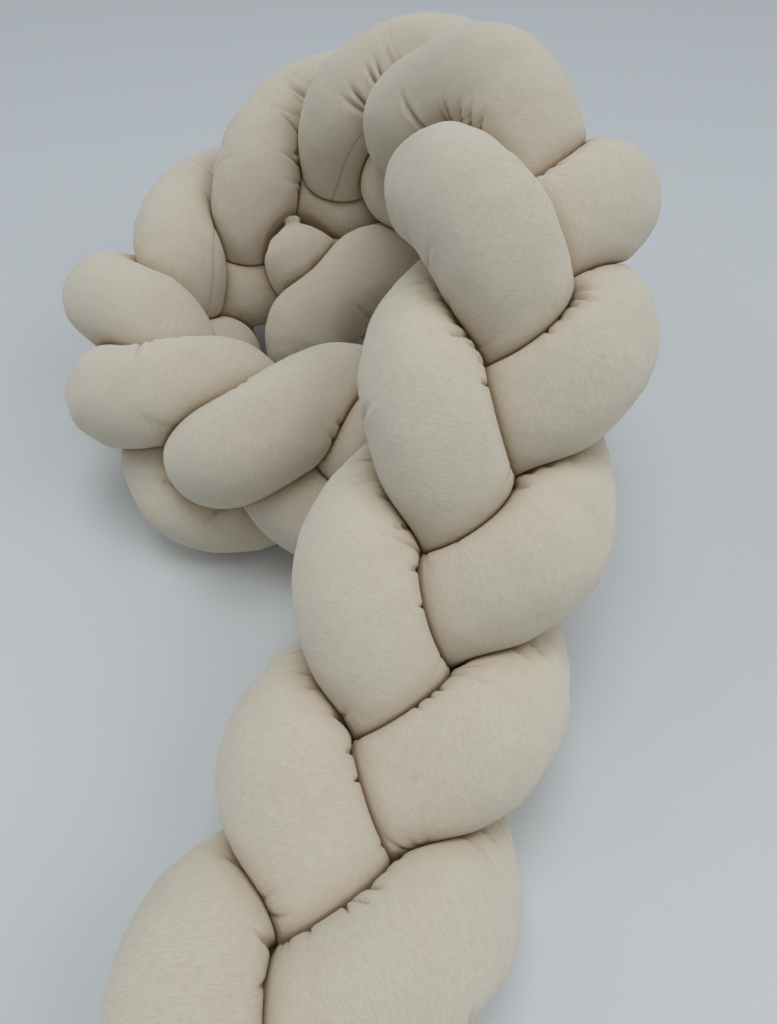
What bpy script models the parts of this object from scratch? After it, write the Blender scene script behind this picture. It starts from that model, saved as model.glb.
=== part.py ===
"""A crib bumper: three stuffed jersey tubes in a flat plait. Half of its length is coiled on
its edge, and the free half is laid up over the coil and down on to the table.

Metres, +Z up. The origin is the middle of the footprint on the table.
"""

import math

import bpy
import numpy as np

TUBE_RADIUS = 0.044  # a stuffed tube where nothing presses on it
PLAIT_REACH = 0.054  # sideways from the plait's middle to a tube's middle at its outer bend
PLAIT_LIFT = 0.033  # how far a tube rises or dips where it crosses the others
CONTACT_GAP = 0.0006  # left between two tubes that press on each other
BEND_SHARE = 0.85  # most of a bend's own radius that its inner side may fill
PRESS_SHARPNESS = 9.0  # how abruptly a round tube turns flat where it is pressed
RINGS = 144  # round sections along one tube, besides those of its two ends
SIDES = 15  # points in one section
PATH_STEPS = 2400  # fine steps along a tube, from which its sections are placed
NEIGHBOUR_STEPS = 620  # steps along a tube that press on other sections
SELF_REACH = 1.5  # rows of PATH beyond which a tube presses on itself
PRESS_REACH = 3.0  # free radii from a section within which a tube's middle may press on it
LEAST_APART = 0.02  # closest that two tubes' middles count as lying
DRAW_IN_PASSES = 5  # times the sections are drawn in where their flat faces still touch
DRAW_IN_SHARE = 0.7  # share of the touch taken away in one pass
TIP_CROWN = 0.001  # height of the tip's middle over its rim

# The plait's middle line, a row for each third of a turn of the plait: from the free end on the
# table, up over the coil, round it and in to its inner end. Lean is the turn from lying flat
# (0) to standing on one edge (90), and width scales the reach.
PATH_COLUMNS = ("x", "y", "z", "lean", "width")
FIRST_ROW = -1
PATH_SHIFT = (-0.0001, 0.0003, 0.0)  # brings the middle of the footprint to the origin
PATH = (
    (-0.135, -0.525, 0.070, 0, 0.98),
    (-0.070, -0.410, 0.070, 0, 1.04),
    (-0.005, -0.295, 0.070, 5, 1.12),
    (0.040, -0.170, 0.075, 5, 1.18),
    (0.085, -0.055, 0.135, 15, 1.14),
    (0.125, 0.045, 0.215, 20, 1.10),
    (0.145, 0.155, 0.280, 30, 1.08),
    (0.130, 0.285, 0.270, 50, 1.06),
    (0.070, 0.395, 0.235, 80, 1.04),
    (-0.035, 0.440, 0.180, 100, 1.02),
    (-0.140, 0.375, 0.110, 115, 1.08),
    (-0.185, 0.250, 0.090, 115, 1.10),
    (-0.135, 0.125, 0.090, 95, 1.04),
    (-0.025, 0.090, 0.095, 80, 1.02),
    (0.100, 0.125, 0.100, 85, 1.00),
    (0.190, 0.210, 0.095, 100, 0.98),
    (0.175, 0.325, 0.085, 95, 0.90),
    (0.060, 0.360, 0.080, 95, 0.86),
    (-0.025, 0.280, 0.120, 115, 0.92),
    (-0.035, 0.155, 0.095, 100, 0.98),
)

# Where each tube bends round the left edge, as a row of PATH, and the rows where it starts and
# stops.
STRANDS = {
    "strand_a": {"bend_row": 2, "start": -0.55, "stop": 16.9},
    "strand_b": {"bend_row": 3, "start": -0.35, "stop": 16.1},
    "strand_c": {"bend_row": 1, "start": -0.65, "stop": 17.35},
}

# Where a tube lies off the even plait: the row of PATH, how many rows the shift eases over, and
# the shift. The last rows of strand_a turn its gathered end up, away from the other tubes.
SHIFT_COLUMNS = ("row", "spread", "x", "y", "z")
SHIFTS = {
    "strand_a": (
        (3.50, 0.30, -0.003, 0.000, 0.000),
        (4.35, 0.25, 0.004, -0.002, -0.002),
        (4.85, 0.25, -0.008, -0.003, -0.003),
        (8.55, 0.50, 0.000, -0.020, -0.018),
        (10.60, 0.25, 0.006, 0.000, 0.000),
        (16.55, 0.25, 0.000, -0.013, -0.011),
        (17.00, 0.16, -0.014, 0.080, 0.020),
    ),
    "strand_b": (
        (4.30, 0.30, -0.004, 0.000, 0.000),
        (5.35, 0.25, 0.009, 0.000, 0.000),
        (9.20, 0.40, 0.000, -0.012, -0.010),
        (11.15, 0.25, 0.006, 0.000, 0.000),
        (12.10, 0.30, 0.003, -0.002, -0.002),
    ),
    "strand_c": (
        (5.00, 0.30, 0.003, -0.004, -0.004),
        (7.75, 0.35, 0.003, -0.020, -0.020),
        (9.35, 0.25, -0.004, -0.010, -0.009),
        (11.10, 0.40, 0.002, 0.006, 0.004),
        (17.35, 0.50, 0.000, -0.010, -0.010),
    ),
}

# A tube's gathered end: distance from the tip, and the share of the full radius there.
END_COLUMNS = ("from_tip", "share")
END_PROFILE = (
    (0.000, 0.13),
    (0.003, 0.21),
    (0.009, 0.19),
    (0.013, 0.33),
    (0.021, 0.60),
    (0.032, 0.80),
    (0.046, 0.94),
    (0.062, 1.00),
)

JERSEY_COLOUR = (0.56, 0.50, 0.40, 1.0)
JERSEY_ROUGHNESS = 0.9


def clear_scene():
    for obj in list(bpy.data.objects):
        bpy.data.objects.remove(obj, do_unlink=True)


def path_curve(rows):
    """A natural cubic through PATH: gives its values and slopes at the given rows."""
    points = np.array(PATH)
    count = len(points)
    system = np.zeros((count, count))
    right = np.zeros_like(points)
    system[0, 0] = 1.0
    system[-1, -1] = 1.0
    for i in range(1, count - 1):
        system[i, i - 1 : i + 2] = (1.0, 4.0, 1.0)
        right[i] = 6.0 * (points[i + 1] - 2.0 * points[i] + points[i - 1])
    bend = np.linalg.solve(system, right)
    low = np.clip((rows - FIRST_ROW).astype(int), 0, count - 2)
    up = (rows - FIRST_ROW - low)[:, None]
    down = 1.0 - up
    values = down * points[low] + up * points[low + 1]
    values += ((down**3 - down) * bend[low] + (up**3 - up) * bend[low + 1]) / 6.0
    slopes = points[low + 1] - points[low]
    slopes += ((1.0 - 3.0 * down**2) * bend[low] + (3.0 * up**2 - 1.0) * bend[low + 1]) / 6.0
    return values, slopes


def unit(vectors):
    return vectors / np.linalg.norm(vectors, axis=1, keepdims=True)


def tube_middle(name, rows):
    """The middle line of one tube, weaving across the plait and over and under the others."""
    values, slopes = path_curve(rows)
    along = unit(slopes[:, :3])
    level = unit(np.stack([along[:, 1], -along[:, 0], np.zeros(len(rows))], axis=1))
    above = np.cross(level, along)
    lean = np.radians(values[:, 3])[:, None]
    across = np.cos(lean) * level - np.sin(lean) * above
    face = np.cos(lean) * above + np.sin(lean) * level
    turn = 1.5 * math.pi - 2.0 * math.pi * (rows - STRANDS[name]["bend_row"]) / 3.0
    reach = PLAIT_REACH * values[:, 4] * np.sin(turn)
    lift = -PLAIT_LIFT * np.sin(2.0 * turn)
    line = values[:, :3] + np.array(PATH_SHIFT) + across * reach[:, None] + face * lift[:, None]
    for row, spread, *shift in SHIFTS[name]:
        line += np.exp(-(((rows - row) / spread) ** 2))[:, None] * np.array(shift)
    return line


def free_radius(from_tip):
    """The radius of a tube at a distance from its nearer tip where nothing presses on it."""
    places = [row[0] for row in END_PROFILE]
    shares = [row[1] for row in END_PROFILE]
    return TUBE_RADIUS * np.interp(from_tip, places, shares)


def measured(middle):
    """Length along a middle line at each of its points."""
    steps = np.linalg.norm(np.diff(middle, axis=0), axis=1)
    return np.concatenate([[0.0], np.cumsum(steps)])


def pressing_line(name):
    """A tube's middle as its neighbours meet it: points, rows and squares of the free radius."""
    rows = np.linspace(STRANDS[name]["start"], STRANDS[name]["stop"], NEIGHBOUR_STEPS)
    middle = tube_middle(name, rows)
    length = measured(middle)
    return middle, rows, free_radius(np.minimum(length, length[-1] - length)) ** 2


def even_sections(name):
    """Sections along one tube: middle, direction, two cross directions, bend, row and free radius."""
    rows = np.linspace(STRANDS[name]["start"], STRANDS[name]["stop"], PATH_STEPS)
    middle = tube_middle(name, rows)
    length = measured(middle)
    from_tip = np.array([row[0] for row in END_PROFILE])
    inner = np.linspace(from_tip[-1], length[-1] - from_tip[-1], RINGS + 2)[1:-1]
    at = np.concatenate([from_tip, inner, length[-1] - from_tip[::-1]])
    radius = free_radius(np.minimum(at, length[-1] - at))
    slope = unit(np.gradient(middle, length, axis=0))
    curving = np.gradient(slope, length, axis=0)

    def pick(values):
        return np.stack([np.interp(at, length, column) for column in values.T], axis=1)

    centre = pick(middle)
    along = unit(pick(slope))
    bend = pick(curving)
    first = np.zeros_like(centre)
    start_side = np.cross(along[0], (0.0, 0.0, 1.0))
    first[0] = start_side / np.linalg.norm(start_side)
    for i in range(1, len(at)):
        carried = first[i - 1] - along[i] * np.dot(along[i], first[i - 1])
        first[i] = carried / np.linalg.norm(carried)
    second = np.cross(along, first)
    return centre, along, first, second, bend, np.interp(at, length, rows), radius


def near_lines(centre, row, name, all_lines):
    """The tube middles near a section: its own, and those that press on it, with their squares."""
    own = None
    points_near = []
    squares_near = []
    for other, (points, rows, squares) in all_lines.items():
        close = ((points - centre) ** 2).sum(axis=1) < (PRESS_REACH * TUBE_RADIUS) ** 2
        if other == name:
            near_row = np.abs(rows - row) < SELF_REACH
            own = points[close & near_row], squares[close & near_row]
            close = close & ~near_row
        points_near.append(points[close])
        squares_near.append(squares[close])
    return own, (np.concatenate(points_near), np.concatenate(squares_near))


def pressed_radius(centre, outward, bend, radius, pressing):
    """How far one section's points may go before the table, a bend or a tube stops them.

    Two tubes meet half way between their middles, and nearer to the thinner one.
    """
    tightest = np.maximum((outward @ bend) / BEND_SHARE, 1e-9)
    points, squares = pressing
    if len(points) > 0:
        away = points - centre
        apart = (away**2).sum(axis=1) + radius**2 - squares - CONTACT_GAP**2
        press = 2.0 * (CONTACT_GAP + outward @ away.T) / np.maximum(apart, LEAST_APART**2)
        tightest = np.maximum(tightest, press.max(axis=1))
    free = (radius**-PRESS_SHARPNESS + tightest**PRESS_SHARPNESS) ** (-1.0 / PRESS_SHARPNESS)
    falling = np.maximum(-outward[:, 2], 1e-6)
    return np.minimum(free, centre[2] / falling)


def nearest(places, line):
    """For each place, the least squared distance to a line less the line's square, and that
    distance."""
    points, squares = line
    distances = ((places[:, None] - points[None]) ** 2).sum(axis=2)
    pick = (distances - squares[None]).argmin(axis=1)
    found = distances[np.arange(len(places)), pick]
    return found - squares[pick], np.sqrt(found)


def intrusion(places, own, pressing):
    """How far each place lies past the face that its tube shares with the tube pressing there."""
    if len(pressing[0]) == 0:
        return np.zeros(len(places))
    own_power, own_distance = nearest(places, own)
    press_power, press_distance = nearest(places, pressing)
    past = (own_power - press_power) / (own_distance + press_distance) + CONTACT_GAP
    return np.maximum(past, 0.0)


def draw_in(centre, outward, reach, lines):
    """Shortens the reach of points whose flat faces would still cut into another tube."""
    points = centre[:, None] + outward * reach[:, :, None]
    pull = np.zeros_like(reach)
    for i in range(len(centre) - 1):
        here = points[i]
        ahead = points[i + 1]
        own, pressing = lines[i]
        for step_here, step_ahead in ((1, 0), (0, 1), (0, 0)):
            middle = 0.5 * (np.roll(here, -step_here, axis=0) + np.roll(ahead, -step_ahead, axis=0))
            past = intrusion(middle, own, pressing)
            pull[i] = np.maximum(pull[i], np.roll(past, step_here))
            pull[i + 1] = np.maximum(pull[i + 1], np.roll(past, step_ahead))
        past = intrusion(0.5 * (here + np.roll(here, -1, axis=0)), own, pressing)
        pull[i] = np.maximum(pull[i], np.maximum(past, np.roll(past, 1)))
    return reach - DRAW_IN_SHARE * pull


def tube_mesh(name, all_lines):
    centre, along, first, second, bend, row, radius = even_sections(name)
    angles = np.linspace(0.0, 2.0 * math.pi, SIDES, endpoint=False)
    outward = (
        np.cos(angles)[None, :, None] * first[:, None]
        + np.sin(angles)[None, :, None] * second[:, None]
    )
    lines = [near_lines(centre[i], row[i], name, all_lines) for i in range(len(centre))]
    reach = np.stack(
        [
            pressed_radius(centre[i], outward[i], bend[i], radius[i], lines[i][1])
            for i in range(len(centre))
        ]
    )
    for _ in range(DRAW_IN_PASSES):
        reach = draw_in(centre, outward, reach, lines)
    vertices = list((centre[:, None] + outward * reach[:, :, None]).reshape(-1, 3))
    vertices.append(centre[0] - along[0] * TIP_CROWN)
    vertices.append(centre[-1] + along[-1] * TIP_CROWN)
    faces = []
    for i in range(len(centre) - 1):
        for j in range(SIDES):
            k = (j + 1) % SIDES
            faces.append((i * SIDES + j, i * SIDES + k, (i + 1) * SIDES + k, (i + 1) * SIDES + j))
    last = (len(centre) - 1) * SIDES
    tip = len(vertices) - 2
    for j in range(SIDES):
        k = (j + 1) % SIDES
        faces.append((tip, k, j))
        faces.append((tip + 1, last + j, last + k))
    mesh = bpy.data.meshes.new(name)
    mesh.from_pydata([tuple(map(float, v)) for v in vertices], [], faces)
    mesh.polygons.foreach_set("use_smooth", [True] * len(mesh.polygons))
    mesh.update()
    return mesh


def jersey(name):
    material = bpy.data.materials.new(name)
    material.use_nodes = True
    shader = material.node_tree.nodes["Principled BSDF"]
    shader.inputs["Base Color"].default_value = JERSEY_COLOUR
    shader.inputs["Roughness"].default_value = JERSEY_ROUGHNESS
    shader.inputs["Metallic"].default_value = 0.0
    return material


def main():
    clear_scene()
    collection = bpy.data.collections.new("crib_bumper")
    bpy.context.scene.collection.children.link(collection)
    all_lines = {name: pressing_line(name) for name in STRANDS}
    for name in STRANDS:
        obj = bpy.data.objects.new(name, tube_mesh(name, all_lines))
        obj.data.materials.append(jersey(name + "_jersey"))
        collection.objects.link(obj)


main()
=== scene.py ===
"""Dresses the plaited crib bumper: three stuffed jersey tubes with press folds, gathers and seams."""

import math
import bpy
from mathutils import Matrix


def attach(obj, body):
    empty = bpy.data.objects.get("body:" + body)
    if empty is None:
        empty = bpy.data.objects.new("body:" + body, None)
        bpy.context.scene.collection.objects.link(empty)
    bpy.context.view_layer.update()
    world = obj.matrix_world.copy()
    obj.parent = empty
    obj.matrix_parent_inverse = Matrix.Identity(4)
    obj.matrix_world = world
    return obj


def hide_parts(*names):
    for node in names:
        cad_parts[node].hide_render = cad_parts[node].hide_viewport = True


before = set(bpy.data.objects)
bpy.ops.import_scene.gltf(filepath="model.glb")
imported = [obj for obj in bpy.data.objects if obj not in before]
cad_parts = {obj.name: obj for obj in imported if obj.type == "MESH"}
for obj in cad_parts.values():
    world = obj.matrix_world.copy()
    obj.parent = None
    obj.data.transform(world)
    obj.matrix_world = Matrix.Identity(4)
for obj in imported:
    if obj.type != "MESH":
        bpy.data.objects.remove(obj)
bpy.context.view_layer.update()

from types import SimpleNamespace

import bpy
import numpy as np
from mathutils import Matrix, Vector

# The plait, as in the solids. Metres, +Z up.
FULL_TURN = 2.0 * math.pi
TUBE_RADIUS = 0.044  # a stuffed tube where nothing presses on it
TUBE_GIRTH = FULL_TURN * TUBE_RADIUS
PLAIT_REACH = 0.054  # sideways from the plait's middle to a tube's middle at its outer bend
PLAIT_LIFT = 0.033  # how far a tube rises or dips where it crosses the others
BEND_SHARE = 0.85  # most of a bend's own radius that its inner side may fill
SELF_REACH = 1.5  # rows of PATH beyond which a tube presses on itself
PRESS_REACH = 3.0  # free radii from a ring within which a tube's middle may press on it
LEAST_APART = 0.02  # closest that two tubes' middles count as lying
PATH_STEPS = 6000  # fine steps along a tube, from which its rings are placed
NEIGHBOUR_STEPS = 1500  # steps along a tube that press on other rings

# The plait's middle line, a row for each third of a turn of the plait: from the free end on the
# table, up over the coil, round it and in to its inner end. Lean is the turn from lying flat
# (0) to standing on one edge (90), and width scales the reach.
FIRST_ROW = -1
PATH_SHIFT = (-0.0001, 0.0003, 0.0)  # brings the middle of the footprint to the origin
PATH_COLUMNS = ("x", "y", "z", "lean", "width")
PATH = (
    (-0.135, -0.525, 0.070, 0, 0.98),
    (-0.070, -0.410, 0.070, 0, 1.04),
    (-0.005, -0.295, 0.070, 5, 1.12),
    (0.040, -0.170, 0.075, 5, 1.18),
    (0.085, -0.055, 0.135, 15, 1.14),
    (0.125, 0.045, 0.215, 20, 1.10),
    (0.145, 0.155, 0.280, 30, 1.08),
    (0.130, 0.285, 0.270, 50, 1.06),
    (0.070, 0.395, 0.235, 80, 1.04),
    (-0.035, 0.440, 0.180, 100, 1.02),
    (-0.140, 0.375, 0.110, 115, 1.08),
    (-0.185, 0.250, 0.090, 115, 1.10),
    (-0.135, 0.125, 0.090, 95, 1.04),
    (-0.025, 0.090, 0.095, 80, 1.02),
    (0.100, 0.125, 0.100, 85, 1.00),
    (0.190, 0.210, 0.095, 100, 0.98),
    (0.175, 0.325, 0.085, 95, 0.90),
    (0.060, 0.360, 0.080, 95, 0.86),
    (-0.025, 0.280, 0.120, 115, 0.92),
    (-0.035, 0.155, 0.095, 100, 0.98),
)

# Where each tube bends round the left edge, as a row of PATH, and the rows where it starts and
# stops.
STRANDS = {
    "strand_a": {"bend_row": 2, "start": -0.55, "stop": 16.9},
    "strand_b": {"bend_row": 3, "start": -0.35, "stop": 16.1},
    "strand_c": {"bend_row": 1, "start": -0.65, "stop": 17.35},
}

# Where a tube lies off the even plait: the row of PATH, how many rows the shift eases over, and
# the shift. The last rows of strand_a turn its gathered end up, away from the other tubes.
SHIFT_COLUMNS = ("row", "spread", "x", "y", "z")
SHIFTS = {
    "strand_a": (
        (3.50, 0.30, -0.003, 0.000, 0.000),
        (4.35, 0.25, 0.004, -0.002, -0.002),
        (4.85, 0.25, -0.008, -0.003, -0.003),
        (8.55, 0.50, 0.000, -0.020, -0.018),
        (10.60, 0.25, 0.006, 0.000, 0.000),
        (16.55, 0.25, 0.000, -0.013, -0.011),
        (17.00, 0.16, -0.014, 0.080, 0.020),
    ),
    "strand_b": (
        (4.30, 0.30, -0.004, 0.000, 0.000),
        (5.35, 0.25, 0.009, 0.000, 0.000),
        (9.20, 0.40, 0.000, -0.012, -0.010),
        (11.15, 0.25, 0.006, 0.000, 0.000),
        (12.10, 0.30, 0.003, -0.002, -0.002),
    ),
    "strand_c": (
        (5.00, 0.30, 0.003, -0.004, -0.004),
        (7.75, 0.35, 0.003, -0.020, -0.020),
        (9.35, 0.25, -0.004, -0.010, -0.009),
        (11.10, 0.40, 0.002, 0.006, 0.004),
        (17.35, 0.50, 0.000, -0.010, -0.010),
    ),
}

# A tube's gathered end: distance from the tip, and the share of the full radius there.
END_COLUMNS = ("from_tip", "share")
END_PROFILE = (
    (0.000, 0.10),
    (0.001, 0.17),
    (0.003, 0.21),
    (0.006, 0.205),
    (0.009, 0.18),
    (0.013, 0.33),
    (0.021, 0.60),
    (0.032, 0.80),
    (0.046, 0.94),
    (0.062, 1.00),
)

# The fine surface, made of rings of points.
CONTACT_GAP = 0.0001  # left between two tubes that press on each other
PRESS_SHARPNESS = 24.0  # how abruptly a round tube turns flat where it is pressed
SIDES = 60  # points in one ring
RINGS = 1600  # rings along a tube, besides those of its two ends
END_RINGS = 24  # rings in each gathered end
END_CROWDING = 1.4  # how much closer those lie towards the tip
COARSE_RING = 0.003  # between the rings of the coarse surface that the folds are placed on
SET_CROWDING = 3.5  # how much closer the rings lie beside a fold of FOLDS
SCATTER_CROWDING = 0.8  # and beside a scattered one
CROWDED_REACH = (0.003, 0.008)  # from a fold, where its closer rings begin and end easing off
HIDDEN_ROWS = (12.5, 14.5)  # under the run, where the rings may lie further apart
HIDDEN_EASE = 0.5  # rows over which they draw apart
HIDDEN_SPREAD = 2.2  # how many times further apart they lie there
NO_PRESS = 1e-9  # stands for nothing pressing on a point
LEAST_FALL = 1e-6  # and for a point whose direction never meets the table
LEAST_DROP = 1e-4  # closest to the table, along its direction, that a ring's middle counts as
TIP_CROWN = 0.0006  # height of a tip's middle over its last ring

# The filling's unevenness, where nothing presses.
LOOSE_NEARNESS = (0.72, 0.98)  # from loose cloth to cloth that is pressed flat
BODY_FROM_TIP = (0.010, 0.035)  # from the gathered tip to the tube's full body
LUMP_COLUMNS = ("height", "wave")
LUMP_WAVES = ((0.0008, 0.075), (0.0005, 0.038), (0.00012, 0.017))
LUMP_DIRECTIONS = 9  # crossing waves of each height
LUMP_STRETCH = (0.75, 1.35)  # how much shorter or longer one wave may be
SWELL_HEIGHT = 0.0014  # how far the cloth swells beside a contact, inside a bend
SWELL_NEARNESS = (0.45, 0.8)  # where the swelling starts and is full
SWELL_SQUEEZE = (-0.1, 0.4)

# Every fold is a valley that runs out from the line where tubes meet, with a lip on each side.
FOLD_WINDOW = 0.06  # how far along the tube a fold may reach
FOLD_RUN_IN = (-0.014, -0.006)  # behind its start, where a fold fades in
FOLD_FACING = (0.15, 0.5)  # how much a point must face as the fold does to be carved
FOLD_FADING = 0.7  # below 1, a fold stays deep for most of its length
FOLD_BROADENING = 0.9  # how much wider a fold is at its far end
FOLD_CUT = 1.3  # times the stated depth
FOLD_ROUNDING = 1.25  # 2 makes a round valley, 1 a sharp one
FOLD_DEEPEST = 0.0075  # where several folds run together
LIP_SHARE = 0.22  # a lip's height, as a share of the fold's depth
LIP_PLACE = 2.4  # from the fold's middle, in half widths
LIP_WIDTH = 1.3

# Scattered folds, drawn at random from seeds.
FOLD_GAP = (0.0045, 0.016)  # least and widest, between the starts of two folds
FOLD_HUDDLE = 0.8  # share of the gap's range that is lost inside the tightest bends
FOLD_LENGTH = (0.010, 0.026)  # shortest, and how much longer the longest is
FOLD_DRAWN = 0.024  # added to a fold's length inside the tightest bends
FOLD_WIDTH = (0.0007, 0.0016)  # least and most, as half the width
FOLD_DEPTH = (0.0013, 0.0038)  # least and most
FOLD_DEPTH_SHARE = (0.45, 0.55)  # of its depth: everywhere, and added where folds are likely
FOLD_STRAY = 0.22  # how far a fold may turn from the straight way out, in radians
FOLD_SQUEEZE = (-0.20, 0.20)  # from a bend's outer side, where none lie, to its inner side
FOLD_ACROSS = (0.30, 0.75)  # from contacts that cross the tube to those that run along it
FOLD_FROM_TIP = (0.04, 0.08)  # from the gathered end, where none lie, to the tube's body
FOLD_LEAST_LIKELY = 0.02
DRAWN_SQUEEZE = (0.08, 0.40)  # from an open bend to the tightest ones
FOLD_CLEAR = 0.014  # how far the scattered folds stay from those of FOLDS
LEAST_STEP = 4e-4  # shortest distance between points that a slope is measured over
LEAST_RISE = 1e-9  # keeps a level place from being divided by nothing
LEAST_CLIMB = 1e-12
SMOOTH_ROWS = {  # rows where no scattered folds lie on the side that shows
    "strand_a": ((9.6, 11.8),),
    "strand_b": ((8.7, 12.4),),
    "strand_c": ((7.24, 7.7), (9.1, 11.8)),
}
SMOOTH_SIDE = (0.0, -0.65, 0.76)  # the way from the coil towards the camera
SMOOTH_FACING = -0.1  # least share of that way in the outward direction of the side that shows

# Folds set one by one. A turn is in degrees round the tube from the middle of the band's back.
FOLD_COLUMNS = ("row", "turn", "end_row", "end_turn", "half_width", "depth")
FOLDS = {
    "strand_a": (
        (1.58, -121, 1.58, -131, 0.0010, 0.0030),
        (1.69, -110, 1.66, -127, 0.0011, 0.0045),
        (1.87, -125, 1.81, -145, 0.0022, 0.0030),
        (1.97, -110, 1.84, -134, 0.0015, 0.0050),
        (2.04, 178, 2.01, 164, 0.0013, 0.0040),
        (3.38, 110, 3.30, 130, 0.0018, 0.0050),
        (3.43, 129, 3.37, 140, 0.0016, 0.0030),
        (3.46, 147, 3.40, 157, 0.0016, 0.0025),
        (8.06, -15, 8.05, 30, 0.0010, 0.0035),
        (8.17, -50, 8.19, -5, 0.0010, 0.0035),
        (11.00, -170, 10.93, -182, 0.0016, 0.0030),
        (11.02, 180, 10.93, 163, 0.0020, 0.0030),
    ),
    "strand_b": (
        (1.08, 123, 1.08, 133, 0.0010, 0.0030),
        (1.12, 129, 1.13, 138, 0.0010, 0.0035),
        (1.17, 119, 1.18, 133, 0.0020, 0.0040),
        (1.38, 112, 1.32, 124, 0.0014, 0.0040),
        (2.61, -116, 2.62, -127, 0.0009, 0.0025),
        (2.78, -110, 2.74, -129, 0.0010, 0.0050),
        (2.96, -139, 2.87, -156, 0.0009, 0.0055),
        (3.02, -173, 3.00, -184, 0.0012, 0.0040),
        (4.09, 122, 4.08, 133, 0.0010, 0.0025),
        (4.16, 118, 4.13, 132, 0.0010, 0.0030),
        (4.23, 118, 4.19, 136, 0.0012, 0.0050),
        (4.27, 118, 4.22, 145, 0.0012, 0.0060),
        (4.30, 122, 4.27, 143, 0.0020, 0.0030),
        (5.46, 66, 5.50, 78, 0.0013, 0.0040),
        (5.51, 56, 5.56, 68, 0.0012, 0.0045),
        (5.57, 46, 5.62, 61, 0.0012, 0.0045),
        (5.69, 32, 5.73, 53, 0.0013, 0.0045),
        (5.77, 25, 5.78, 44, 0.0012, 0.0035),
        (5.98, 14, 6.04, 51, 0.0014, 0.0050),
        (8.93, 3, 8.91, 16, 0.0012, 0.0035),
        (11.95, -169, 11.93, -180, 0.0010, 0.0035),
        (12.00, 179, 11.97, 169, 0.0010, 0.0040),
    ),
    "strand_c": (
        (0.69, -110, 0.66, -125, 0.0010, 0.0035),
        (0.88, -100, 0.78, -132, 0.0018, 0.0060),
        (0.99, -178, 0.99, -200, 0.0030, 0.0035),
        (2.07, 122, 2.08, 132, 0.0010, 0.0025),
        (2.12, 115, 2.13, 129, 0.0010, 0.0030),
        (2.17, 115, 2.17, 124, 0.0012, 0.0040),
        (2.50, 100, 2.37, 122, 0.0013, 0.0050),
        (3.74, -119, 3.73, -133, 0.0010, 0.0045),
        (3.85, -123, 3.82, -137, 0.0012, 0.0030),
        (3.90, -137, 3.87, -150, 0.0012, 0.0040),
        (3.94, -148, 3.87, -169, 0.0013, 0.0060),
        (4.03, -156, 3.95, -174, 0.0022, 0.0040),
        (7.03, 14, 7.03, 37, 0.0012, 0.0040),
        (7.07, 7, 7.08, 29, 0.0013, 0.0045),
        (7.17, -13, 7.18, 12, 0.0014, 0.0055),
        (7.20, -20, 7.23, 8, 0.0020, 0.0030),
        (11.12, 117, 11.05, 132, 0.0020, 0.0035),
        (11.35, 124, 11.28, 150, 0.0015, 0.0050),
    ),
}

# The sewn seam along each tube: its turn at rows of PATH.
SEAM_VALLEY = (0.0007, 0.0030)  # depth and half width of the dip along a seam
SEAM_EASE = 0.25  # rows to each side over which a seam's course is evened out
SEAM_SAMPLES = 11
SEAM_COLUMNS = ("row", "turn")
SEAM_ROWS = {
    "strand_a": (
        (6.3, 0), (7.3, -100), (10.5, -100), (11.2, 0), (13, 0), (14, -90), (15.4, -90),
        (16, -170),
    ),
    "strand_b": (
        (4.8, 0), (5.4, -140), (8.3, -140), (8.8, -26), (9.1, -20), (9.75, 8), (10.2, 8),
        (10.6, -100), (11.6, -100), (12.2, 0), (13, 0), (14, -90),
    ),
    "strand_c": (
        (6, 0), (6.6, -60), (7.3, -47), (7.6, -20), (7.78, 16), (8.0, 60), (8.5, 120),
        (9.8, 140), (10.5, 250), (14, 270),
    ),
}

# The pleats of a gathered end: waves round the tube.
PLEAT_COLUMNS = ("count", "share")
PLEAT_WAVES = ((13, 0.6), (18, 0.4), (5, 0.35))
PLEAT_PHASES = 6.28  # where round the tube a wave may start, in radians
GATHER_DEPTH = 0.0016
GATHER_RISE = (0.0, 0.010)  # from the tip, where the pleats begin
GATHER_FALL = (0.012, 0.048)  # and where they run out
RIM_DEPTH = 0.0012
RIM_FALL = (0.004, 0.011)

# Seeds: the first tube's, the step to the next tube's, and what is added for folds and gathers.
FIRST_SEED = 11
SEED_STEP = 7
FOLD_SEED = 50
GATHER_SEED = 90

# Painted shade: where the cloth's colour is darkened along contact lines, in fold valleys and in
# hollows near contacts. A contact of 1 is where two tubes start to touch.
CREASE_SHADE_CONTACT = (0.96, 1.04)
CREASE_SHADE_VALLEY = (0.0008, 0.0042)  # depth of a fold where its painted shade starts and is full
CREASE_SHADE_VALLEY_SHARE = 0.95
HOLLOW_SHADE_CONTACT = (0.68, 1.0)

# The jersey. A noise has its scale, detail and roughness. A scale with three numbers is for the
# cloth map: along the tube and round it.
CLOTH_SCALE = 10.0  # units of the cloth map per metre
FLECK_NOISE = ((155.0, 18.0, 1.0), 3.0, 0.62)
FLECK_COLOURS = (
    (0.26, (0.692, 0.603, 0.470, 1.0)),
    (0.50, (0.747, 0.662, 0.527, 1.0)),
    (0.74, (0.797, 0.713, 0.577, 1.0)),
)
FLECK_LIMITS = (0.3, 0.7)  # from the darkest flecks to the palest
FLECK_ROUGHNESS = (0.94, 0.80)
STREAK_NOISE = ((85.0, 7.0, 1.0), 2.0, 0.5)
STREAK_GREYS = ((0.30, 0.42), (0.72, 0.58))  # the pattern's value, and its grey
STREAK_SHARE = 0.30
BLOTCH_NOISE = (22.0, 3.0, 0.5)
BLOTCH_GREYS = ((0.3, 0.44), (0.7, 0.56))
BLOTCH_SHARE = 0.35
GRAIN_NOISE = ((115.0, 60.0, 1.0), 2.0, 0.6)
GRAIN_SHARE = 0.5  # of the fine relief, which flecks share
FLECK_SHARE = 0.5
GRAIN_BUMP = (0.55, 0.0007)  # strength and distance
CRUMPLE_NOISE = (75.0, 3.0, 0.55)
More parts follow.
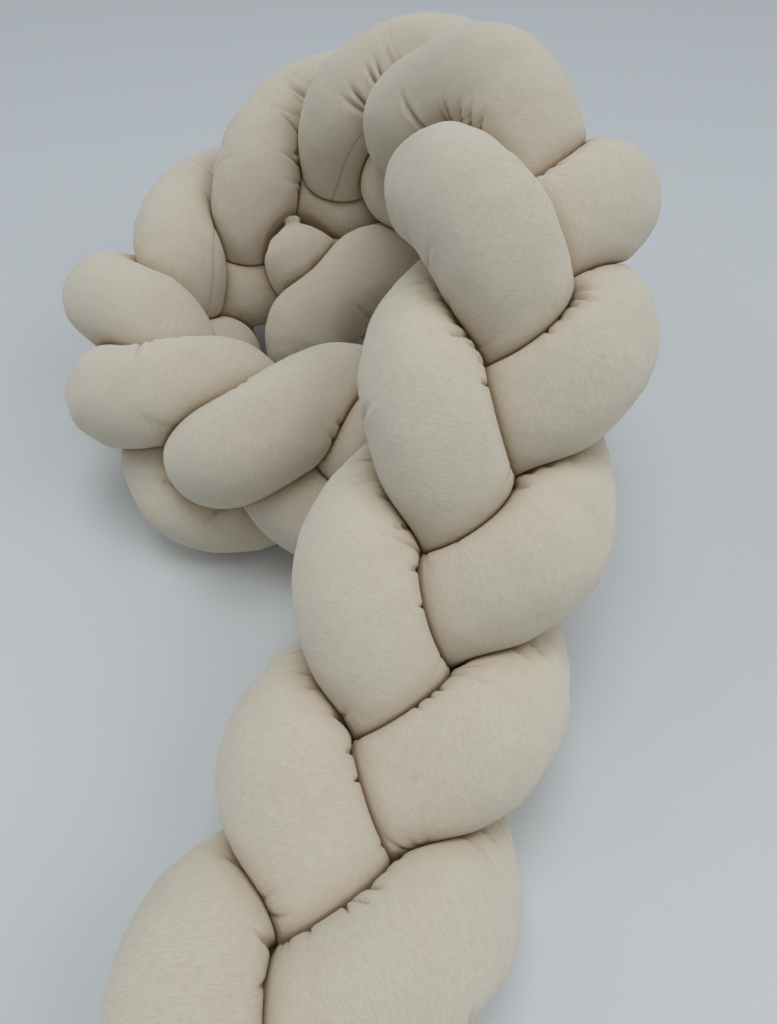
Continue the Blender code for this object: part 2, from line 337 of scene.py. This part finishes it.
CRUMPLE_BUMP = (0.25, 0.004)
SEAM_NARROWNESS = 85.0  # one over the painted seam's half width, on the cloth map
SEAM_SINK = 1.2  # how deep the painted seam lies in the fine relief
SEAM_COLOUR = (0.26, 0.215, 0.155, 1.0)
SEAM_SHARE = 0.45
# Painted shade: a warm darkening of the cloth's colour in the hollows near contacts.
PAINTED_HOLLOW_SHADE_COLOUR = (0.80, 0.68, 0.50, 1.0)
PAINTED_HOLLOW_SHADE_SHARE = 0.50
# Painted shade: a brown darkening of the cloth's colour along contact lines and in fold valleys.
PAINTED_CREASE_SHADE_COLOUR = (0.58, 0.45, 0.31, 1.0)
PAINTED_CREASE_SHADE_SHARE = 0.75
JERSEY_SHADER = {
    "Diffuse Roughness": 0.6,
    "Specular IOR Level": 0.28,
    "Sheen Weight": 0.18,
    "Sheen Roughness": 0.45,
    "Sheen Tint": (0.95, 0.90, 0.82, 1.0),
}

# The table, the camera and the room, from the photograph.
TABLE_HALF = 6.0
TABLE_SHADER = {
    "Base Color": (0.738, 0.742, 0.720, 1.0),
    "Roughness": 0.42,
    "Specular IOR Level": 0.35,
}
CAMERA_PLACE = (0.043, -0.380, 0.581)
CAMERA_PITCH = 49.77  # degrees below level
CAMERA_ROLL = -0.55  # degrees
CAMERA_NEAR = 0.02
FOCAL_LENGTH = 780.0  # pixels
IMAGE_HEIGHT = 1024.0  # pixels
SENSOR_HEIGHT = 36.0  # mm, along the image's longer side
ROOM_COLOUR = (0.81, 0.90, 1.0, 1.0)
ROOM_STRENGTH = 0.23
LIGHT_COLOUR = (0.86, 0.92, 1.0)
LIGHT_TARGET = (0.0, 0.0, 0.1)
LIGHT_COLUMNS = ("name", "place", "size", "energy")
LIGHTS = (
    ("ceiling", (0.0, 0.0, 5.0), 3.0, 87.0),
    ("window", (3.4, -1.3, 3.6), 3.5, 55.0),
    ("room_left", (-3.6, 0.3, 3.5), 3.0, 27.0),
    ("room_front", (0.0, -3.4, 3.6), 3.0, 14.0),
)


def rows_of(columns, table):
    """A table's rows, with each value under its column's name."""
    return [SimpleNamespace(**dict(zip(columns, row))) for row in table]


def columns_of(columns, table):
    """A table's columns, each under its name."""
    return SimpleNamespace(**dict(zip(columns, np.array(table).T)))


def unit(vectors):
    return vectors / np.linalg.norm(vectors, axis=-1, keepdims=True)


def smooth(value, limits):
    """Rises from 0 at the first limit to 1 at the second, without a kink."""
    low, high = limits
    share = np.clip((value - low) / (high - low), 0.0, 1.0)
    return share * share * (3.0 - 2.0 * share)


def path_curve(rows):
    """A natural cubic through PATH: gives its values and slopes at the given rows."""
    points = np.array(PATH)
    count = len(points)
    system = np.zeros((count, count))
    right = np.zeros_like(points)
    system[0, 0] = 1.0
    system[-1, -1] = 1.0
    for i in range(1, count - 1):
        system[i, i - 1 : i + 2] = (1.0, 4.0, 1.0)
        right[i] = 6.0 * (points[i + 1] - 2.0 * points[i] + points[i - 1])
    bend = np.linalg.solve(system, right)
    low = np.clip((rows - FIRST_ROW).astype(int), 0, count - 2)
    up = (rows - FIRST_ROW - low)[:, None]
    down = 1.0 - up
    values = down * points[low] + up * points[low + 1]
    values += ((down**3 - down) * bend[low] + (up**3 - up) * bend[low + 1]) / 6.0
    slopes = points[low + 1] - points[low]
    slopes += ((1.0 - 3.0 * down**2) * bend[low] + (3.0 * up**2 - 1.0) * bend[low + 1]) / 6.0
    return values, slopes


def tube_middle(name, rows):
    """A tube's middle line, weaving across the plait and over and under, and the band's facing."""
    values, slopes = path_curve(rows)
    place = values[:, : PATH_COLUMNS.index("lean")]
    width = values[:, PATH_COLUMNS.index("width")]
    lean = np.radians(values[:, PATH_COLUMNS.index("lean")])[:, None]
    along = unit(slopes[:, :3])
    level = unit(np.stack([along[:, 1], -along[:, 0], np.zeros(len(rows))], axis=1))
    above = np.cross(level, along)
    across = np.cos(lean) * level - np.sin(lean) * above
    face = np.cos(lean) * above + np.sin(lean) * level
    turn = 1.5 * math.pi - FULL_TURN * (rows - STRANDS[name]["bend_row"]) / 3.0
    reach = PLAIT_REACH * width * np.sin(turn)
    lift = -PLAIT_LIFT * np.sin(2.0 * turn)
    line = place + np.array(PATH_SHIFT) + across * reach[:, None] + face * lift[:, None]
    for shift in rows_of(SHIFT_COLUMNS, SHIFTS[name]):
        nearness = np.exp(-(((rows - shift.row) / shift.spread) ** 2))
        line += nearness[:, None] * np.array((shift.x, shift.y, shift.z))
    return line, face


def measured(middle):
    """Length along a middle line at each of its points."""
    steps = np.linalg.norm(np.diff(middle, axis=0), axis=1)
    return np.concatenate([[0.0], np.cumsum(steps)])


def strand_line(name):
    """The strand's middle line with its slope, curvature and facing, by length along it."""
    rows = np.linspace(STRANDS[name]["start"], STRANDS[name]["stop"], PATH_STEPS)
    middle, face = tube_middle(name, rows)
    length = measured(middle)
    slope = unit(np.gradient(middle, length, axis=0))
    bend = np.gradient(slope, length, axis=0)
    return SimpleNamespace(
        rows=rows, middle=middle, face=face, length=length, slope=slope, bend=bend
    )


def free_radius(from_tip):
    """The radius of a tube at a distance from its nearer tip where nothing presses on it."""
    profile = columns_of(END_COLUMNS, END_PROFILE)
    return TUBE_RADIUS * np.interp(from_tip, profile.from_tip, profile.share)


def pressing_line(name):
    """A tube's middle as its neighbours meet it: points, rows and squares of the free radius."""
    rows = np.linspace(STRANDS[name]["start"], STRANDS[name]["stop"], NEIGHBOUR_STEPS)
    middle = tube_middle(name, rows)[0]
    length = measured(middle)
    return middle, rows, free_radius(np.minimum(length, length[-1] - length)) ** 2


def ring_places(line, folds):
    """Where the rings lie along a strand: closer beside folds, further apart where hidden."""
    tip = END_PROFILE[-1][END_COLUMNS.index("from_tip")]
    total = line.length[-1]
    end = tip * np.linspace(0.0, 1.0, END_RINGS) ** END_CROWDING
    first, last = HIDDEN_ROWS
    density = 1.0 / np.interp(
        line.rows,
        (first - HIDDEN_EASE, first, last, last + HIDDEN_EASE),
        (1.0, HIDDEN_SPREAD, HIDDEN_SPREAD, 1.0),
    )
    crowding = np.zeros(len(line.length))
    for fold in folds:
        apart = np.maximum(fold.span[0] - line.length, line.length - fold.span[1])
        crowding = np.maximum(crowding, fold.crowding * (1.0 - smooth(apart, CROWDED_REACH)))
    density *= 1.0 + crowding
    spent = np.concatenate([[0.0], np.cumsum(np.diff(line.length) * density[1:])])
    count = RINGS if folds else int(total / COARSE_RING)
    ends = np.interp((tip, total - tip), line.length, spent)
    inner = np.interp(np.linspace(*ends, count + 2)[1:-1], spent, line.length)
    return np.concatenate([end, inner, total - end[::-1]])


def ring_press(centre, outward, bend, row, radius, name, all_lines):
    """How hard a bend or a tube presses on a ring's points, as one over the reach it leaves.

    Gives the harder of the two, and the tube's alone. Two tubes meet half way between their
    middles, and nearer to the thinner one.
    """
    tightest = np.maximum((outward @ bend) / BEND_SHARE, NO_PRESS)
    contact = np.full(len(outward), NO_PRESS)
    for other, (points, rows, squares) in all_lines.items():
        away = points - centre
        distances = (away**2).sum(axis=1)
        keep = distances < (PRESS_REACH * TUBE_RADIUS) ** 2
        if other == name:
            keep &= np.abs(rows - row) > SELF_REACH
        if not keep.any():
            continue
        apart = distances[keep] + radius**2 - squares[keep] - CONTACT_GAP**2
        press = 2.0 * (CONTACT_GAP + outward @ away[keep].T) / np.maximum(apart, LEAST_APART**2)
        contact = np.maximum(contact, press.max(axis=1))
    return np.maximum(tightest, contact), contact


def seam_turns(name, rows):
    """How far round the tube its seam lies at each row, in radians."""
    seam = columns_of(SEAM_COLUMNS, SEAM_ROWS[name])
    turns = np.zeros(len(rows))
    for shift in np.linspace(-SEAM_EASE, SEAM_EASE, SEAM_SAMPLES):
        turns += np.radians(np.interp(rows + shift, seam.row, seam.turn)) / SEAM_SAMPLES
    return turns


def pressed_tube(name, line, at, all_lines):
    """The strand's surface, ring by ring, as its neighbours, its bends and the table press it."""

    def pick(values):
        return np.stack([np.interp(at, line.length, column) for column in values.T], axis=1)

    tube = SimpleNamespace(at=at, row=np.interp(at, line.length, line.rows))
    tube.tip_distance = np.minimum(at, line.length[-1] - at)
    tube.radius = free_radius(tube.tip_distance)
    tube.centre = pick(line.middle)
    tube.along = unit(pick(line.slope))
    tube.bend = pick(line.bend)
    back = -pick(line.face)
    first = unit(back - tube.along * (tube.along * back).sum(axis=1)[:, None])
    second = np.cross(tube.along, first)
    tube.step = np.linspace(0.0, FULL_TURN, SIDES, endpoint=False)
    tube.seam = seam_turns(name, tube.row)
    angle = (tube.step[None, :] + tube.seam[:, None])[:, :, None]
    tube.outward = np.cos(angle) * first[:, None] + np.sin(angle) * second[:, None]
    tightest = np.zeros((len(at), SIDES))
    contact = np.zeros((len(at), SIDES))
    for i in range(len(at)):
        ring = tube.centre[i], tube.outward[i], tube.bend[i], tube.row[i], tube.radius[i]
        tightest[i], contact[i] = ring_press(*ring, name, all_lines)
    free = tube.radius[:, None] ** -PRESS_SHARPNESS + tightest**PRESS_SHARPNESS
    tube.free = free ** (-1.0 / PRESS_SHARPNESS)
    falling = np.maximum(-tube.outward[:, :, 2], LEAST_FALL)
    tube.to_table = np.maximum(tube.centre[:, 2:3] / falling, 0.0)
    tube.contact = contact * tube.radius[:, None]
    on_table = tube.radius[:, None] / np.maximum(tube.to_table, LEAST_DROP)
    tube.nearness = np.maximum(tube.contact, on_table)
    tube.squeeze = np.einsum("ijk,ik->ij", tube.outward, tube.bend) * tube.free
    reach = np.minimum(tube.free, tube.to_table)
    tube.surface = tube.centre[:, None] + tube.outward * reach[:, :, None]
    return tube


def surface_place(tube, row, turn):
    """A place on a tube's surface: its length along the tube, its point and its direction."""
    above = int(np.searchsorted(tube.row, row))
    share = (row - tube.row[above - 1]) / (tube.row[above] - tube.row[above - 1])
    point = np.zeros(3)
    for ring, weight in ((above - 1, 1.0 - share), (above, share)):
        side = (math.radians(turn) - tube.seam[ring]) / FULL_TURN * SIDES
        low = math.floor(side)
        point += weight * (low + 1.0 - side) * tube.surface[ring, low % SIDES]
        point += weight * (side - low) * tube.surface[ring, (low + 1) % SIDES]
    centre = (1.0 - share) * tube.centre[above - 1] + share * tube.centre[above]
    at = (1.0 - share) * tube.at[above - 1] + share * tube.at[above]
    return at, point, unit(point - centre)


def set_folds(tube, name):
    """The folds of FOLDS, each from its start to its end on the tube's surface."""
    folds = []
    for row in rows_of(FOLD_COLUMNS, FOLDS[name]):
        at, point, normal = surface_place(tube, row.row, row.turn)
        end_at, end_point, _ = surface_place(tube, row.end_row, row.end_turn)
        away = end_point - point
        folds.append(
            SimpleNamespace(
                at=at,
                span=(min(at, end_at), max(at, end_at)),
                crowding=SET_CROWDING,
                point=point,
                heading=unit(away - normal * (away @ normal)),
                normal=normal,
                length=np.linalg.norm(away),
                half_width=row.half_width,
                depth=row.depth,
            )
        )
    return folds


def contact_slope(tube):
    """Which way the contact grows on the surface, and how much of that is round the tube."""
    lengthwise = np.gradient(tube.surface, axis=0)
    girthwise = (np.roll(tube.surface, -1, axis=1) - np.roll(tube.surface, 1, axis=1)) / 2.0
    step_length = np.maximum(np.linalg.norm(lengthwise, axis=2), LEAST_STEP)
    step_girth = np.maximum(np.linalg.norm(girthwise, axis=2), LEAST_STEP)
    rise_length = np.gradient(tube.contact, axis=0) / step_length
    change = np.roll(tube.contact, -1, axis=1) - np.roll(tube.contact, 1, axis=1)
    rise_girth = change / 2.0 / step_girth
    rise = np.hypot(rise_length, rise_girth) + LEAST_RISE
    climb = unit(
        (rise_length / step_length)[:, :, None] * lengthwise
        + (rise_girth / step_girth)[:, :, None] * girthwise
        + LEAST_CLIMB
    )
    return climb, np.abs(rise_girth) / rise


def contact_rim(tube):
    """The points just outside the faces where tubes touch."""
    touching = tube.contact >= 1.0
    beside = np.roll(touching, 1, axis=1) | np.roll(touching, -1, axis=1)
    beside[1:] |= touching[:-1]
    beside[:-1] |= touching[1:]
    return beside & ~touching


def scattered_folds(tube, name, set_places, seed):
    """Short folds along the lines where tubes meet, most of them where a bend shortens the tube."""
    rng = np.random.default_rng(seed)
    climb, across = contact_slope(tube)
    likely = smooth(tube.squeeze, FOLD_SQUEEZE) * smooth(across, FOLD_ACROSS)
    likely *= smooth(tube.tip_distance, FOLD_FROM_TIP)[:, None]
    showing = tube.outward @ np.array(SMOOTH_SIDE) > SMOOTH_FACING
    for first_row, last_row in SMOOTH_ROWS[name]:
        smooth_rows = (tube.row > first_row) & (tube.row < last_row)
        likely[smooth_rows[:, None] & showing] = 0.0
    rings, sides = np.nonzero(contact_rim(tube) & (likely > FOLD_LEAST_LIKELY))
    folds = []
    places = np.zeros((0, 3))
    for pick in rng.permutation(len(rings)):
        i, j = rings[pick], sides[pick]
        drawn = smooth(tube.squeeze[i, j], DRAWN_SQUEEZE)
        gap_range = (FOLD_GAP[1] - FOLD_GAP[0]) * rng.uniform() * (1.0 - FOLD_HUDDLE * drawn)
        chance = rng.uniform()
        point = tube.surface[i, j]
        crowded = np.linalg.norm(places - point, axis=1) < FOLD_GAP[0] + gap_range
        if chance > likely[i, j] or crowded.any():
            continue
        if (np.linalg.norm(set_places - point, axis=1) < FOLD_CLEAR).any():
            continue
        places = np.append(places, [point], axis=0)
        normal = tube.outward[i, j]
        away = -climb[i, j]
        turn = rng.normal() * FOLD_STRAY
        depth_share = FOLD_DEPTH_SHARE[0] + FOLD_DEPTH_SHARE[1] * likely[i, j]
        folds.append(
            SimpleNamespace(
                at=tube.at[i],
                span=(tube.at[i], tube.at[i]),
                crowding=SCATTER_CROWDING,
                point=point,
                heading=math.cos(turn) * away + math.sin(turn) * np.cross(normal, away),
                normal=normal,
                length=FOLD_LENGTH[0] + FOLD_LENGTH[1] * rng.uniform() ** 2 + FOLD_DRAWN * drawn,
                half_width=rng.uniform(*FOLD_WIDTH),
                depth=rng.uniform(*FOLD_DEPTH) * depth_share,
            )
        )
    return folds


def carved_folds(tube, folds):
    """How deep the folds cut and how high their lips stand, at each point of the tube."""
    valley = np.zeros_like(tube.free)
    lips = np.zeros_like(tube.free)
    for fold in folds:
        low, high = np.searchsorted(tube.at, (fold.at - FOLD_WINDOW, fold.at + FOLD_WINDOW))
        from_start = tube.surface[low:high] - fold.point
        run = from_start @ fold.heading
        aside = np.abs(from_start @ np.cross(fold.normal, fold.heading))
        fading = np.clip(1.0 - run / fold.length, 0.0, 1.0) ** FOLD_FADING
        fading = fading * smooth(run, FOLD_RUN_IN)
        fading *= smooth(tube.outward[low:high] @ fold.normal, FOLD_FACING)
        broadening = 1.0 + FOLD_BROADENING * np.clip(run / fold.length, 0.0, 1.0)
        broad = fold.half_width * broadening
        across = np.exp(-((aside / broad) ** FOLD_ROUNDING))
        valley[low:high] += FOLD_CUT * fold.depth * fading * across
        beside = np.exp(-(((aside - LIP_PLACE * broad) / (LIP_WIDTH * broad)) ** 2))
        lips[low:high] += LIP_SHARE * fold.depth * fading * beside
    return FOLD_DEEPEST * np.tanh(valley / FOLD_DEEPEST), lips


def lumps(points, seed):
    """A soft unevenness made of crossing waves."""
    rng = np.random.default_rng(seed)
    total = np.zeros(len(points))
    for lump in rows_of(LUMP_COLUMNS, LUMP_WAVES):
        for _ in range(LUMP_DIRECTIONS):
            direction = rng.normal(size=3)
            wave = lump.wave * rng.uniform(*LUMP_STRETCH)
            direction *= FULL_TURN / (wave * np.linalg.norm(direction))
            phase = rng.uniform(0.0, FULL_TURN)
            total += lump.height / math.sqrt(LUMP_DIRECTIONS) * np.sin(points @ direction + phase)
    return total


def seam_dip(tube):
    """The dip along the seam, which lies at the start of each ring."""
    depth, half_width = SEAM_VALLEY
    around = np.minimum(tube.step, FULL_TURN - tube.step) * TUBE_RADIUS
    return depth * np.exp(-((around / half_width) ** 2))


def gathers(tube, seed):
    """The pleats of the two gathered ends, and the ruffled rim at each tip."""
    rng = np.random.default_rng(seed)
    pleat = np.zeros(SIDES)
    for wave in rows_of(PLEAT_COLUMNS, PLEAT_WAVES):
        pleat += wave.share * np.cos(wave.count * tube.step + rng.uniform(0.0, PLEAT_PHASES))
    tip = tube.tip_distance
    gather = smooth(tip, GATHER_RISE) * (1.0 - smooth(tip, GATHER_FALL))
    rim = 1.0 - smooth(tip, RIM_FALL)
    return (GATHER_DEPTH * gather + RIM_DEPTH * rim)[:, None] * pleat[None, :]


def tube_faces(count):
    """Four-sided faces between the rings, and a fan of triangles over each tip."""
    ring = np.arange(SIDES)
    after = (ring + 1) % SIDES
    base = (np.arange(count - 1) * SIDES)[:, None]
    quads = np.stack([base + ring, base + after, base + SIDES + after, base + SIDES + ring], axis=2)
    faces = [tuple(face) for face in quads.reshape(-1, 4).tolist()]
    tip = count * SIDES
    last = (count - 1) * SIDES
    faces += [(tip, int(after[j]), int(j)) for j in ring]
    faces += [(tip + 1, last + int(j), last + int(after[j])) for j in ring]
    return faces


def lay_cloth_map(mesh, at):
    """The cloth's pattern runs along the tube and round it from the seam."""
    count = len(at)
    u = at * CLOTH_SCALE
    v = np.arange(SIDES + 1) / SIDES * TUBE_GIRTH * CLOTH_SCALE
    quad_uv = np.zeros((count - 1, SIDES, 4, 2))
    for corner, (i_step, j_step) in enumerate(((0, 0), (0, 1), (1, 1), (1, 0))):
        quad_uv[:, :, corner, 0] = u[i_step : count - 1 + i_step][:, None]
        quad_uv[:, :, corner, 1] = v[j_step : SIDES + j_step][None, :]
    cap_uv = np.zeros((2, SIDES, 3, 2))
    cap_uv[0, :, :, 0] = u[0]
    cap_uv[1, :, :, 0] = u[-1]
    cap_uv[:, :, :, 1] = v[:SIDES][None, :, None]
    layer = mesh.uv_layers.new(name="cloth")
    layer.data.foreach_set("uv", np.concatenate([quad_uv.ravel(), cap_uv.ravel()]))


def mark_points(mesh, name, marks):
    """Keeps a value for each point of the rings, and none for the two tips."""
    values = np.append(marks.ravel(), (0.0, 0.0))
    mesh.attributes.new(name, "FLOAT", "POINT").data.foreach_set("value", values)


def tube_piece(name, all_lines, seed):
    """One stuffed tube: its pressed form, then the filling's lumps, the folds, the seam and ends."""
    line = strand_line(name)
    coarse = pressed_tube(name, line, ring_places(line, ()), all_lines)
    folds = set_folds(coarse, name)
    set_places = np.array([fold.point for fold in folds])
    folds += scattered_folds(coarse, name, set_places, seed + FOLD_SEED)
    tube = pressed_tube(name, line, ring_places(line, folds), all_lines)
    loose = 1.0 - smooth(tube.nearness, LOOSE_NEARNESS)
    body = smooth(tube.tip_distance, BODY_FROM_TIP)[:, None]
    change = lumps(tube.surface.reshape(-1, 3), seed).reshape(tube.free.shape) * loose * body
    valley, lips = carved_folds(tube, folds)
    change += (lips * loose - valley) * body
    swell = smooth(tube.nearness, SWELL_NEARNESS) * loose * smooth(tube.squeeze, SWELL_SQUEEZE)
    change += SWELL_HEIGHT * swell * body
    change -= seam_dip(tube)[None, :] * body
    change += gathers(tube, seed + GATHER_SEED)
    reach = np.minimum(tube.free + change, tube.to_table)
    rings = (tube.centre[:, None] + tube.outward * reach[:, :, None]).reshape(-1, 3)
    start = tube.centre[0] - tube.along[0] * TIP_CROWN
    stop = tube.centre[-1] + tube.along[-1] * TIP_CROWN

    mesh = bpy.data.meshes.new(name + "_jersey")
    vertices = np.concatenate([rings, [start, stop]])
    mesh.from_pydata(vertices.tolist(), [], tube_faces(len(tube.at)))
    mesh.polygons.foreach_set("use_smooth", [True] * len(mesh.polygons))
    # Painted shade: marks where the cloth's colour is darkened along contact lines and in fold
    # valleys.
    painted_crease_shade = smooth(tube.contact, CREASE_SHADE_CONTACT)
    painted_crease_shade = painted_crease_shade + CREASE_SHADE_VALLEY_SHARE * smooth(valley, CREASE_SHADE_VALLEY)
    mark_points(mesh, "painted_crease_shade", np.minimum(painted_crease_shade, 1.0))
    # Painted shade: how near a contact each point lies, for darkening the cloth's colour in the
    # hollows.
    mark_points(mesh, "painted_hollow_shade", smooth(tube.contact, HOLLOW_SHADE_CONTACT))
    lay_cloth_map(mesh, tube.at)
    mesh.update()
    piece = bpy.data.objects.new(name + "_jersey", mesh)
    bpy.context.scene.collection.objects.link(piece)
    return piece


def grey(value):
    return (value, value, value, 1.0)


class Nodes:
    """A short way to write a node tree."""

    def __init__(self, material):
        material.use_nodes = True
        self.tree = material.node_tree
        self.shader = self.tree.nodes["Principled BSDF"]

    def add(self, kind, inputs=None, **settings):
        node = self.tree.nodes.new(kind)
        for key, value in settings.items():
            setattr(node, key, value)
        for key, value in (inputs or {}).items():
            self.put(node, key, value)
        return node

    def put(self, node, key, value):
        socket = node.inputs[key]
        if isinstance(value, bpy.types.NodeSocket):
            self.tree.links.new(value, socket)
        else:
            socket.default_value = value

    def put_all(self, values):
        for key, value in values.items():
            self.put(self.shader, key, value)

    def noise(self, vector, scale, detail, rough):
        """Noise at one scale, or at its own scale along each way of the vector."""
        if isinstance(scale, tuple):
            inputs = {0: vector, 1: scale}
            vector = self.add("ShaderNodeVectorMath", inputs, operation="MULTIPLY").outputs[0]
            scale = 1.0
        inputs = {"Vector": vector, "Scale": scale, "Detail": detail, "Roughness": rough}
        return self.add("ShaderNodeTexNoise", inputs).outputs[0]

    def ramp(self, factor, stops):
        node = self.add("ShaderNodeValToRGB", {"Fac": factor})
        ramp = node.color_ramp
        while len(ramp.elements) < len(stops):
            ramp.elements.new(0.5)
        for element, (place, colour) in zip(ramp.elements, stops):
            element.position = place
            element.color = colour
        return node.outputs[0]

    def mix(self, factor, first, second, blend="MIX"):
        inputs = {0: factor, 6: first, 7: second}
        return self.add("ShaderNodeMix", inputs, data_type="RGBA", blend_type=blend).outputs[2]

    def math(self, operation, first, second):
        return self.add("ShaderNodeMath", {0: first, 1: second}, operation=operation).outputs[0]

    def shaded(self, share, colour, pattern, greys):
        """A colour made darker and paler by a pattern, from its values' greys."""
        shade = self.ramp(pattern, [(place, grey(value)) for place, value in greys])
        return self.mix(share, colour, shade, "SOFT_LIGHT")

    def attribute(self, name):
        return self.add("ShaderNodeAttribute", attribute_name=name).outputs["Fac"]

    def bump(self, size, height, normal=None):
        inputs = {"Strength": size[0], "Distance": size[1], "Height": height}
        if normal is not None:
            inputs["Normal"] = normal
        return self.add("ShaderNodeBump", inputs).outputs[0]


def seam_line(nodes, cloth):
    """1 on the seam, falling to 0 beside it. The seam lies where the cloth map starts and ends."""
    v = nodes.add("ShaderNodeSeparateXYZ", {0: cloth}).outputs[1]
    to_end = nodes.math("SUBTRACT", TUBE_GIRTH * CLOTH_SCALE, v)
    away = nodes.math("MULTIPLY", nodes.math("MINIMUM", v, to_end), SEAM_NARROWNESS)
    return nodes.math("SUBTRACT", 1.0, nodes.math("MINIMUM", away, 1.0))


def jersey_material(name):
    """Heathered cotton jersey: pale and tan flecks that run round the tube, knit grain, a seam, and
    painted shade in the hollows and along the creases.
    """
    material = bpy.data.materials.new(name)
    nodes = Nodes(material)
    cloth = nodes.add("ShaderNodeUVMap", uv_map="cloth").outputs[0]
    solid = nodes.add("ShaderNodeTexCoord").outputs["Object"]
    fleck = nodes.noise(cloth, *FLECK_NOISE)
    streak = nodes.noise(cloth, *STREAK_NOISE)
    blotch = nodes.noise(solid, *BLOTCH_NOISE)
    seam = seam_line(nodes, cloth)
    colour = nodes.shaded(STREAK_SHARE, nodes.ramp(fleck, FLECK_COLOURS), streak, STREAK_GREYS)
    colour = nodes.shaded(BLOTCH_SHARE, colour, blotch, BLOTCH_GREYS)
    colour = nodes.mix(nodes.math("MULTIPLY", seam, SEAM_SHARE), colour, SEAM_COLOUR)
    # Painted shade in the hollows near contacts, multiplied into the colour.
    painted_hollow_shade = nodes.math("MULTIPLY", nodes.attribute("painted_hollow_shade"), PAINTED_HOLLOW_SHADE_SHARE)
    colour = nodes.mix(painted_hollow_shade, colour, PAINTED_HOLLOW_SHADE_COLOUR, "MULTIPLY")
    # Painted shade along contact lines and in fold valleys, multiplied into the colour.
    painted_crease_shade = nodes.math("MULTIPLY", nodes.attribute("painted_crease_shade"), PAINTED_CREASE_SHADE_SHARE)
    colour = nodes.mix(painted_crease_shade, colour, PAINTED_CREASE_SHADE_COLOUR, "MULTIPLY")
    nodes.put(nodes.shader, "Base Color", colour)

    limits = {"From Min": FLECK_LIMITS[0], "From Max": FLECK_LIMITS[1]}
    limits.update({"To Min": FLECK_ROUGHNESS[0], "To Max": FLECK_ROUGHNESS[1]})
    rough = nodes.add("ShaderNodeMapRange", {"Value": fleck, **limits})
    nodes.put(nodes.shader, "Roughness", rough.outputs[0])
    nodes.put_all(JERSEY_SHADER)

    grain = nodes.noise(cloth, *GRAIN_NOISE)
    crumple = nodes.noise(solid, *CRUMPLE_NOISE)
    grain = nodes.math("MULTIPLY", grain, GRAIN_SHARE)
    height = nodes.math("ADD", grain, nodes.math("MULTIPLY", fleck, FLECK_SHARE))
    height = nodes.math("SUBTRACT", height, nodes.math("MULTIPLY", seam, SEAM_SINK))
    wide = nodes.bump(CRUMPLE_BUMP, crumple)
    nodes.put(nodes.shader, "Normal", nodes.bump(GRAIN_BUMP, height, wide))
    return material


def floor_piece():
    corners = [(-1, -1), (1, -1), (1, 1), (-1, 1)]
    mesh = bpy.data.meshes.new("table")
    mesh.from_pydata([(x * TABLE_HALF, y * TABLE_HALF, 0) for x, y in corners], [], [(0, 1, 2, 3)])
    floor = bpy.data.objects.new("table", mesh)
    bpy.context.scene.collection.objects.link(floor)
    material = bpy.data.materials.new("table_top")
    Nodes(material).put_all(TABLE_SHADER)
    mesh.materials.append(material)


def camera():
    """Looks along +Y and down, as the photograph was taken."""
    pitch = math.radians(CAMERA_PITCH)
    roll = math.radians(CAMERA_ROLL)
    right = Vector((1.0, 0.0, 0.0))
    up = Vector((0.0, math.sin(pitch), math.cos(pitch)))
    ahead = Vector((0.0, math.cos(pitch), -math.sin(pitch)))
    turned_right = math.cos(roll) * right + math.sin(roll) * up
    turned_up = -math.sin(roll) * right + math.cos(roll) * up
    place = Matrix((turned_right, turned_up, -ahead)).transposed().to_4x4()
    place.translation = Vector(CAMERA_PLACE)
    data = bpy.data.cameras.new("photo_view")
    data.sensor_width = SENSOR_HEIGHT
    data.lens = FOCAL_LENGTH / IMAGE_HEIGHT * SENSOR_HEIGHT
    data.clip_start = CAMERA_NEAR
    obj = bpy.data.objects.new("photo_view", data)
    obj.matrix_world = place
    bpy.context.scene.collection.objects.link(obj)
    bpy.context.scene.camera = obj


def lights():
    """A pale room, and round lights above and beside the table."""
    world = bpy.data.worlds.new("room")
    bpy.context.scene.world = world
    world.use_nodes = True
    background = world.node_tree.nodes["Background"]
    background.inputs["Color"].default_value = ROOM_COLOUR
    background.inputs["Strength"].default_value = ROOM_STRENGTH
    for light in rows_of(LIGHT_COLUMNS, LIGHTS):
        data = bpy.data.lights.new(light.name, "AREA")
        data.shape = "DISK"
        data.size = light.size
        data.energy = light.energy
        data.color = LIGHT_COLOUR
        obj = bpy.data.objects.new(light.name, data)
        obj.location = light.place
        aim = Vector(LIGHT_TARGET) - Vector(light.place)
        obj.rotation_euler = aim.to_track_quat("-Z", "Y").to_euler()
        bpy.context.scene.collection.objects.link(obj)


camera()
lights()
floor_piece()
strand_lines = {strand_name: pressing_line(strand_name) for strand_name in STRANDS}
for number, strand_name in enumerate(STRANDS):
    tube = tube_piece(strand_name, strand_lines, FIRST_SEED + SEED_STEP * number)
    tube.data.materials.append(jersey_material(strand_name + "_heathered"))
    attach(tube, "root")
    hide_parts(strand_name)

bpy.context.scene.view_settings.view_transform = "Standard"
bpy.context.scene.view_settings.look = "None"
